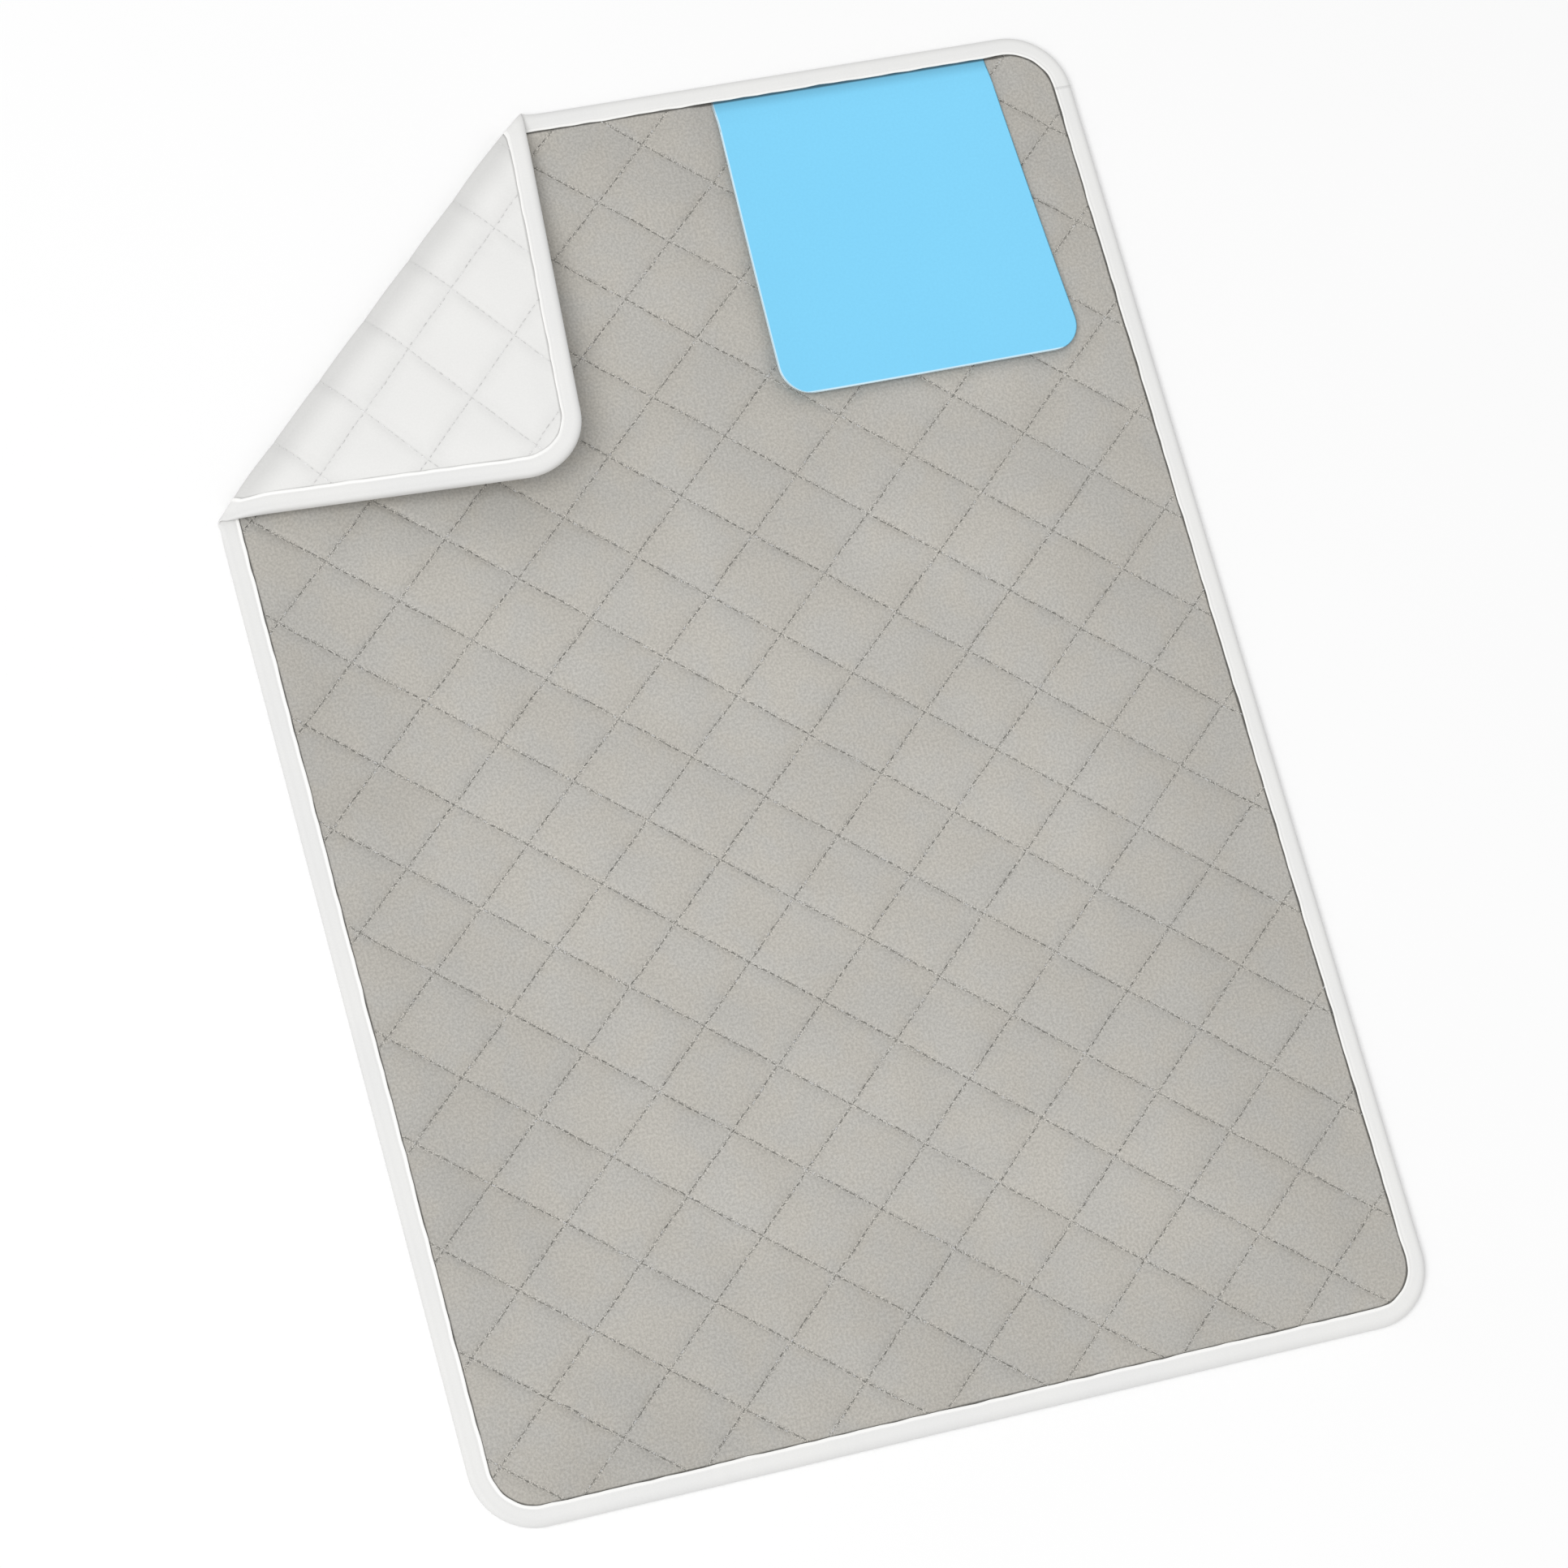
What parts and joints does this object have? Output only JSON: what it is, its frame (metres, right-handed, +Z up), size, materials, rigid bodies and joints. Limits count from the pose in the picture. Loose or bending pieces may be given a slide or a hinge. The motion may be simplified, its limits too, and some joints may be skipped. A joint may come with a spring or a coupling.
{
  "type": "ironing pad",
  "caption": "Soft quilted ironing pad with a bound edge, rounded corners, a corner that folds back and a label tab that lifts; it is laid on a table to iron on.",
  "frame": {"origin": "middle of the footprint, on the surface that the pad lies on", "axes": "+Z up out of the ironing face, +Y along the long side towards the edge that holds the label, +X along the short side"},
  "size_m": [0.5006, 0.7007, 0.0406],
  "materials": {
    "cover_cloth": "matt grey heat-resistant cloth",
    "batting": "soft off-white padding",
    "film": "metallised heat-reflective film",
    "backing_cloth": "smooth white cloth",
    "binding_tape": "smooth white tape",
    "grey_thread": "grey sewing thread",
    "white_thread": "white sewing thread",
    "label_card": "satin sky-blue card, bare"
  },
  "bodies": {
    "mat": {"panel_cover": "cover_cloth", "panel_batting": "batting", "panel_film": "film", "panel_backing": "backing_cloth", "panel_binding": "binding_tape", "panel_binding_seam": "white_thread", "panel_thread_rising": "grey_thread", "panel_thread_falling": "grey_thread", "fold_cover": "cover_cloth", "fold_batting": "batting", "fold_film": "film", "fold_backing": "backing_cloth", "fold_binding_side": "binding_tape", "fold_binding_top": "binding_tape", "label_tongue": "label_card"},
    "corner_flap": {"flap_cover": "cover_cloth", "flap_batting": "batting", "flap_film": "film", "flap_backing": "backing_cloth", "flap_binding": "binding_tape", "flap_binding_seam": "white_thread", "flap_thread_rising": "grey_thread", "flap_thread_falling": "grey_thread"},
    "label_tab": {"label": "label_card"}
  },
  "joints": [
    {"name": "corner_fold", "type": "hinge", "parent": "mat", "child": "corner_flap", "pos_m": [-0.25, 0.1654, 0.007], "axis": [0.7447, 0.6674, 0], "range_deg": [-167.3, 0], "deforming": ["fold_cover", "fold_batting", "fold_film", "fold_backing", "fold_binding_side", "fold_binding_top"]},
    {"name": "label_lift", "type": "hinge", "parent": "mat", "child": "label_tab", "pos_m": [0.1315, 0.3396, 0.00685], "axis": [-1, 0, 0], "range_deg": [0, 110]}
  ]
}
